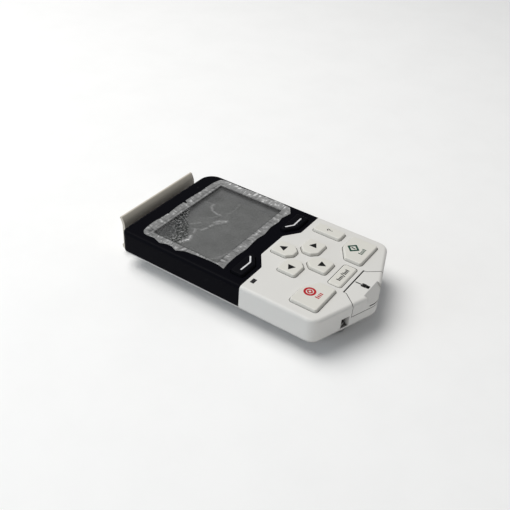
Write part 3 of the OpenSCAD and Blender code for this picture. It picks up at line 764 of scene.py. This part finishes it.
class HANDPANEL_OT_softkey_lines(bpy.types.Operator):
    """Print the bent silver lines on the softkeys"""

    bl_idname = "hand_panel.softkey_lines"
    bl_label = "Softkey Lines"

    # The right key's line in millimetres from the middle of the key; the left one is its mirror image
    BENT = [(4.85, -0.5), (-2.0, -0.7), (-5.6, 1.7)]

    def execute(self, context):
        silver = printed_ink("Silver Ink", settings().colours.silver_ink, 0.35)
        width = settings().signs.line_width / MM
        for side, name in ((1, "softkey_right"), (-1, "softkey_left")):
            place = middle(name)
            path = [(side * x, y) for x, y in eased(self.BENT, 1.0)]
            outline = stroke(path, width)
            inked(name + "_line", [outline], place, silver, name)
        return {"FINISHED"}


class HANDPANEL_OT_port_sign(bpy.types.Operator):
    """Print a plain plug sign on the port cover"""

    bl_idname = "hand_panel.port_sign"
    bl_label = "Port Sign"

    BELOW_HINGE = 4.6 * MM

    def execute(self, context):
        ink = printed_ink("Port Ink", settings().colours.black_ink)
        place = Vector((0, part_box("port_cover")[1].y - self.BELOW_HINGE, FACE))
        lead = stroke([(0, 3.6), (0, 0.6)], 0.6)
        body = eased(box_outline(2.5, 2.4, (0, -0.5)), 0.4, 3, True)
        prongs = [box_outline(0.6, 1.6, (x, -2.4)) for x in (-0.7, 0.7)]
        inked("sign_port", [lead, body, *prongs], place, ink, "port_cover")
        return {"FINISHED"}


class HANDPANEL_OT_film(bpy.types.Operator):
    """Lay the creased protective film over the display"""

    bl_idname = "hand_panel.film"
    bl_label = "Protective Film"

    def execute(self, context):
        values = settings().film
        across = self.side_points(self.TOP), self.side_points(self.BOTTOM)
        along = self.side_points(self.LEFT), self.side_points(self.RIGHT)
        columns = round(self.WIDTH / values.spacing)
        rows = round(self.HEIGHT / values.spacing)
        points, haze = [], []
        for j in range(rows + 1):
            v = j / rows
            for i in range(columns + 1):
                u = i / columns
                flat = self.patch(across, along, u, v)
                height, milk_and_glint = self.crease(flat, values)
                points.append(Vector((flat.x, flat.y, 0)) * MM + self.START + Vector((0, 0, height * MM)))
                haze.append(milk_and_glint)
        faces = []
        for j in range(rows):
            for i in range(columns):
                a = j * (columns + 1) + i
                faces.append((a, a + columns + 1, a + columns + 2, a + 1))
        mesh = bpy.data.meshes.new("creased_film")
        mesh.from_pydata(points, [], faces)
        mesh.attributes.new("haze", "FLOAT", "POINT").data.foreach_set("value", haze)
        mesh.polygons.foreach_set("use_smooth", [True] * len(faces))
        mesh.materials.append(creased_film("Creased Film", settings().colours.film))
        film = link(bpy.data.objects.new("creased_film", mesh))
        solid = film.modifiers.new("Thickness", "SOLIDIFY")
        solid.thickness = values.thickness
        solid.offset = 1
        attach(film, "root")
        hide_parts("protective_film")
        return {"FINISHED"}

    # The outlines and creases below are in millimetres from this point, above the window's top edge
    START = Vector((-0.3 * MM, WINDOW_HIGH.y - PANE_LAP + 12.6 * MM, FACE))

    # Flat size, which gives the mesh its rows and columns
    WIDTH, HEIGHT = 64 * MM, 48 * MM

    # Heights in millimetres: the whole film, its border, its dip and ripple over the window, the fold at the
    # window's edge, a pale crease and a bubble
    LIE, BORDER_LIFT, DIP, RIPPLE = 0.10, 0.14, 0.20, 0.05
    FOLD_LIFT, LINE_LIFT, BUBBLE_LIFT = 0.12, 0.12, 0.14

    # Share of the haze that is lost beside the window's far sides, in the fold, and in a line above the fold
    FAR_SIDE_LOSS, FOLD_LOSS, LINE_LOSS = 0.55, 0.75, 0.45

    # A crease that is weaker than this at a point isn't worked out there
    NEGLIGIBLE = 0.01

    # Edges of the film, with their waves and a torn notch in the top one
    TOP = [(-30.5, -9.6), (-29, -7.9), (-25, -6.9), (-21, -6.6), (-15, -7.2), (-9, -7.6), (-4, -7.0),
           (1, -6.9), (2.2, -7.2), (3.2, -9.0), (4.4, -6.8), (10, -7.1), (16, -7.5), (22, -7.3), (27, -7.5),
           (31, -8.2), (33, -10.2)]
    BOTTOM = [(-29, -55.4), (-25, -54.7), (-18, -54.5), (-10, -55.2), (-5, -54.7), (0, -54.4), (5, -55.2),
              (12, -54.2), (18, -54.9), (22, -54.2), (25, -54.9), (28, -55.5), (32.6, -52.4)]
    LEFT = [(-30.5, -9.6), (-30.7, -12), (-30.2, -15.5), (-31.7, -20), (-30.4, -23.5), (-30.4, -26.5),
            (-31.7, -29.7), (-29.5, -33.5), (-28.7, -40), (-28.1, -48), (-28.2, -52), (-29, -55.4)]
    RIGHT = [(33, -10.2), (33.4, -16), (32.8, -24), (33.4, -31), (33.0, -40), (33.5, -47), (32.6, -52.4)]

    # Creases that show as pale lines: points in millimetres, half width and strength
    LINES = [
        ([(5.2, -28.6), (5.0, -26.5), (6.0, -23), (8.5, -20.6), (11, -19.8)], 0.55, 0.42),
        ([(-1.5, -30.2), (0.8, -31.2), (2.8, -34.0)], 0.8, 0.55),
        ([(-2.2, -31.4), (0.4, -33.4), (1.9, -34.4)], 0.5, 0.4),
        ([(-25.0, -27.0), (-21.5, -28.3)], 0.8, 0.75),
        ([(-20.8, -28.9), (-17.8, -27.9)], 0.8, 0.75),
        ([(-14.6, -27.3), (-12.4, -26.3)], 0.6, 0.4),
        ([(-10.5, -28.9), (-7.8, -30.0)], 0.65, 0.45),
        ([(-5.4, -30.2), (-4.2, -30.6)], 0.7, 0.5),
        ([(-9.8, -21.5), (-6.4, -24.6)], 0.45, 0.28),
        ([(-12.6, -24.6), (-10.4, -28.2)], 0.4, 0.2),
        ([(-3, -22), (1, -26.5), (3.5, -28)], 0.35, 0.14),
        ([(8, -31), (14, -31.5), (19, -30.5)], 0.5, 0.10),
        ([(-27, -45), (-25.5, -47.4), (-21, -49.3), (-15, -50.4)], 0.5, 0.16),
        ([(-24.5, -22.8), (-22.4, -20.8)], 0.4, 0.22),
        ([(10.5, -15), (11.2, -18.5)], 0.5, 0.10),
    ]

    def side_points(self, edge, steps=400):
        """An edge as evenly spaced points."""
        points = [Vector(p) for p in edge]
        lengths = [0.0]
        for a, b in zip(points, points[1:]):
            lengths.append(lengths[-1] + (b - a).length)
        made, k = [], 0
        for step in range(steps + 1):
            want = lengths[-1] * step / steps
            while k < len(points) - 2 and lengths[k + 1] < want:
                k += 1
            t = (want - lengths[k]) / (lengths[k + 1] - lengths[k])
            made.append(points[k].lerp(points[k + 1], t))
        return made

    def at(self, edge, t):
        """Point of an evenly spaced edge at a share t of its length."""
        place = t * (len(edge) - 1)
        k = min(int(place), len(edge) - 2)
        return edge[k].lerp(edge[k + 1], place - k)

    def patch(self, across, along, u, v):
        """Point of the patch between the four edges, v from the top down."""
        top, bottom = across
        left, right = along
        ruled = self.at(top, u).lerp(self.at(bottom, u), v) + self.at(left, v).lerp(self.at(right, v), u)
        corners = top[0].lerp(top[-1], u).lerp(bottom[0].lerp(bottom[-1], u), v)
        return ruled - corners

    def crease(self, p, values):
        """Height over the face and haze of the film at a point, both from the same creases. The haze on the
        border also holds a painted glint.
        """
        x_edge = WINDOW_HIGH.x / MM - PANE_LAP / MM
        y_high = (WINDOW_HIGH.y - PANE_LAP - self.START.y) / MM
        y_low = (WINDOW_LOW.y + PANE_LAP - self.START.y) / MM
        outside_x = abs(p.x + self.START.x / MM) - x_edge
        outside_y = max(p.y - y_high, y_low - p.y)
        outside = max(outside_x, outside_y)
        along = p.x if outside_y > outside_x else p.y
        round_window = smooth(outside, -0.3, 0.7)
        warp = 0.8 * ripple(p, 0.3, 9.4)
        spread = Vector((along * 0.8 + warp, outside * 0.18 + warp, 3.7))
        ridge = 1 - abs(noise.noise(spread) + 0.5 * noise.noise(spread * 2.3)) * 1.9
        pucker = ripple(p, 0.55, 8.2)
        creased = values.crease / MM * max(0.0, ridge * 0.6 + pucker * 0.4)
        height = self.LIE + round_window * (self.BORDER_LIFT + creased)
        height += (1 - round_window) * (-self.DIP + self.RIPPLE * ripple(p, 0.35, 1.1))
        height += self.FOLD_LIFT * bell(outside - 0.2, 0.5)
        milk_and_glint = values.haze * (1 + 0.25 * ripple(p, 0.15, 5.0))
        milk_and_glint *= 1 + 0.10 * noise.noise(Vector((p.x * 0.9, p.y * 0.5, 5.7)))
        high_side = smooth(p.y - y_high, -3.5, -1.2)
        right_side = smooth(p.x + self.START.x / MM - x_edge, -4.0, -1.5)
        milk_and_glint *= 1 - self.FAR_SIDE_LOSS * max(high_side, right_side)
        # Painted glint: the film's border is made brighter and more milky along its ridges and puckers
        glint = smooth(ridge * 0.5 + pucker * 0.8, 0.42, 0.75)
        edge_milk_and_glint = values.edge_haze + 0.16 * (ridge - 0.5) + 0.20 * pucker + 0.20 * glint
        edge_milk_and_glint += 0.16 * smooth(p.x, 27.5, 30.5)
        milk_and_glint += round_window * (edge_milk_and_glint - milk_and_glint)
        milk_and_glint *= 1 - self.FOLD_LOSS * bell(outside - 0.1, 0.42)
        if p.y > y_high:
            milk_and_glint *= 1 - self.LINE_LOSS * bell(outside - 1.9, 0.35)
        height, milk_and_glint = self.bubbles(p, height, milk_and_glint, 1 - round_window)
        for points, half_width, strength in self.LINES:
            near = bell(distance_to_path(p, points), half_width)
            if near > self.NEGLIGIBLE:
                broken = 0.6 + 0.9 * ripple(p, 1.1, 2.0)
                milk_and_glint += near * strength * max(0.0, broken)
                height += near * self.LINE_LIFT * (1 - round_window)
        return height, min(1.0, max(0.0, milk_and_glint))

    # Edge of the corner that stands off the window, from the left side round to the top
    LOOSE = [(-30, -29.8), (-26, -28.6), (-20, -27.3), (-15, -25), (-10.5, -20.5), (-8, -17), (-2, -14.9),
             (1.5, -12)]

    def bubbles(self, p, height, milk_and_glint, inside):
        """The corner where the film stands off the window in small bubbles and so looks dark."""
        ragged = 0.9 * ripple(p, 0.5, 6.0)
        depth = distance_to_path(p, self.LOOSE) * (1 if within(p, [*self.LOOSE, (-30, -12)]) else -1)
        loose = smooth(depth + ragged, -0.4, 0.6) * inside
        if not loose:
            return height, milk_and_glint
        cells = ripple(p, 1.2, 4.0)
        fine = ripple(p, 2.4, 7.0)
        speck = smooth(cells * 0.6 + fine * 0.7, 0.14, 0.34)
        near_edge = 1 - smooth(depth, 4.0, 10.0)
        wanted = 0.05 * (1 - near_edge) + speck * (0.16 + 0.36 * near_edge)
        height += loose * self.BUBBLE_LIFT * (0.5 + cells)
        return height, milk_and_glint + loose * (wanted - milk_and_glint)


def ripple(p, scale, layer):
    """Smooth noise at a point of the film in millimetres. Each layer is another pattern."""
    return noise.noise(Vector((p.x * scale, p.y * scale, layer)))


def smooth(value, low, high):
    """0 below low, 1 above high and an even curve between."""
    t = min(1.0, max(0.0, (value - low) / (high - low)))
    return t * t * (3 - 2 * t)


def bell(value, width):
    """1 at zero, and less the further the value is from it."""
    return math.exp(-((value / width) ** 2))


def distance_to_path(p, points):
    """Distance from a point to the nearest stretch of a path."""
    best = 1e9
    for a, b in zip(points, points[1:]):
        a, b = Vector(a), Vector(b)
        t = min(1.0, max(0.0, (p - a).dot(b - a) / (b - a).length_squared))
        best = min(best, (p - a.lerp(b, t)).length)
    return best


def within(p, outline):
    """True where a point lies inside an outline."""
    crossings = 0
    for k, (x, y) in enumerate(outline):
        last_x, last_y = outline[k - 1]
        if (y > p.y) != (last_y > p.y) and p.x < x + (last_x - x) * (p.y - y) / (last_y - y):
            crossings += 1
    return crossings % 2 == 1


class HANDPANEL_OT_label(bpy.types.Operator):
    """Print a plain frame on the blank rear label"""

    bl_idname = "hand_panel.label"
    bl_label = "Label Frame"

    # How much smaller than the label the frame's outer and inner edge are, in millimetres
    OUTER_INSET, INNER_INSET = 2, 3

    def execute(self, context):
        low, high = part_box("rear_label")
        width, height = (high.x - low.x) / MM, (high.y - low.y) / MM
        outer = eased(box_outline(width - self.OUTER_INSET, height - self.OUTER_INSET), 1.0, 4, True)
        inner = eased(box_outline(width - self.INNER_INSET, height - self.INNER_INSET), 0.6, 4, True)
        divider = box_outline(0.4, height - self.INNER_INSET, (-width / 6, 0))
        ink = printed_ink("Label Ink", (0.08, 0.08, 0.085))
        place = Vector(((low.x + high.x) / 2, (low.y + high.y) / 2, low.z))
        thickness = settings().signs.thickness
        inked("label_frame", [outer, inner, divider], place, ink, "root", thickness)
        return {"FINISHED"}


class HANDPANEL_OT_stage(bpy.types.Operator):
    """Set the floor, the lamps and the camera"""

    bl_idname = "hand_panel.stage"
    bl_label = "Stage"

    CAMERA_PLACE = (-0.2381, -0.1474, 0.2222)
    CAMERA_AIM = (-0.01157, -0.00561, 0.0205)
    CAMERA_ROLL = math.radians(3.76)
    HIGH_LAMP_PLACE = (-0.10, 0.50, 1.05)
    HIGH_LAMP_COLOUR = (1.0, 0.985, 0.955)
    SIDE_LAMP_PLACE = (-0.72, 0.62, 0.26)
    SIDE_LAMP_COLOUR = (0.68, 0.84, 1.0)
    SIDE_LAMP_SHARE = 0.15

    def execute(self, context):
        self.floor()
        self.light()
        self.camera()
        context.scene.view_settings.view_transform = "Standard"
        context.scene.view_settings.look = "None"
        return {"FINISHED"}

    def floor(self):
        material, nodes = blank_material("Pale Floor")
        cloud = nodes.noise(nodes.place(), 30.0, detail=3.0, roughness=0.6)
        tone = nodes.mix(nodes.band(cloud, 0.3, 0.8), (0.93, 0.93, 0.93), (0.91, 0.91, 0.91))
        surface(nodes, Base_Color=tone, Roughness=0.8, Specular_IOR_Level=0.2)
        mesh = bpy.data.meshes.new("floor")
        far = 4.0
        mesh.from_pydata([(-far, -far, 0), (far, -far, 0), (far, far, 0), (-far, far, 0)], [], [(0, 1, 2, 3)])
        mesh.materials.append(material)
        link(bpy.data.objects.new("floor", mesh))

    def lamp(self, name, place, size, power, colour):
        data = bpy.data.lights.new(name, "AREA")
        data.shape = "DISK"
        data.size = size
        data.energy = power
        data.color = colour
        lamp = link(bpy.data.objects.new(name, data))
        lamp.location = place
        lamp.rotation_mode = "QUATERNION"
        lamp.rotation_quaternion = (-Vector(place)).to_track_quat("-Z", "Y")

    def light(self):
        world = bpy.data.worlds.new("Soft Sky")
        world.use_nodes = True
        sky = world.node_tree.nodes["Background"]
        sky.inputs["Color"].default_value = (0.96, 0.98, 1.0, 1)
        sky.inputs["Strength"].default_value = settings().stage.sky
        bpy.context.scene.world = world
        power = settings().stage.lamp
        self.lamp("high_lamp", self.HIGH_LAMP_PLACE, 1.0, power, self.HIGH_LAMP_COLOUR)
        side_power = power * self.SIDE_LAMP_SHARE
        self.lamp("side_lamp", self.SIDE_LAMP_PLACE, 0.6, side_power, self.SIDE_LAMP_COLOUR)

    def camera(self):
        data = bpy.data.cameras.new("camera")
        data.sensor_width = 36
        data.lens = settings().stage.lens
        camera = link(bpy.data.objects.new("camera", data))
        camera.location = self.CAMERA_PLACE
        look = Vector(self.CAMERA_AIM) - Vector(self.CAMERA_PLACE)
        camera.rotation_mode = "QUATERNION"
        level = look.to_track_quat("-Z", "Y").to_matrix()
        camera.rotation_quaternion = (level @ Matrix.Rotation(self.CAMERA_ROLL, 3, "Z")).to_quaternion()
        data.clip_start, data.clip_end = 0.01, 20
        bpy.context.scene.camera = camera


OPERATORS = (
    HANDPANEL_OT_stage,
    HANDPANEL_OT_finishes,
    HANDPANEL_OT_arrow_signs,
    HANDPANEL_OT_command_signs,
    HANDPANEL_OT_softkey_lines,
    HANDPANEL_OT_port_sign,
    HANDPANEL_OT_label,
    HANDPANEL_OT_film,
)


class HANDPANEL_PT_sidebar(bpy.types.Panel):
    """Handheld control panel"""

    bl_idname = "HANDPANEL_PT_sidebar"
    bl_label = "Hand Panel"
    bl_space_type = "VIEW_3D"
    bl_region_type = "UI"
    bl_category = "Hand Panel"

    def draw(self, context):
        for operator in OPERATORS:
            self.layout.operator(operator.bl_idname)
        for group_ in ("colours", "signs", "film", "stage"):
            values = getattr(settings(), group_)
            box = self.layout.box()
            for name in values.bl_rna.properties.keys():
                if name not in ("rna_type", "name"):
                    box.prop(values, name)


CLASSES = (
    HANDPANEL_PG_colours,
    HANDPANEL_PG_signs,
    HANDPANEL_PG_film,
    HANDPANEL_PG_stage,
    HANDPANEL_PG_all,
    *OPERATORS,
    HANDPANEL_PT_sidebar,
)


def register():
    for cls in CLASSES:
        bpy.utils.register_class(cls)
    bpy.types.Scene.hand_panel = PointerProperty(type=HANDPANEL_PG_all)


def unregister():
    del bpy.types.Scene.hand_panel
    for cls in reversed(CLASSES):
        bpy.utils.unregister_class(cls)


def main():
    register()
    for operator in OPERATORS:
        area, name = operator.bl_idname.split(".")
        getattr(getattr(bpy.ops, area), name)()


if __name__ == "__main__":
    main()
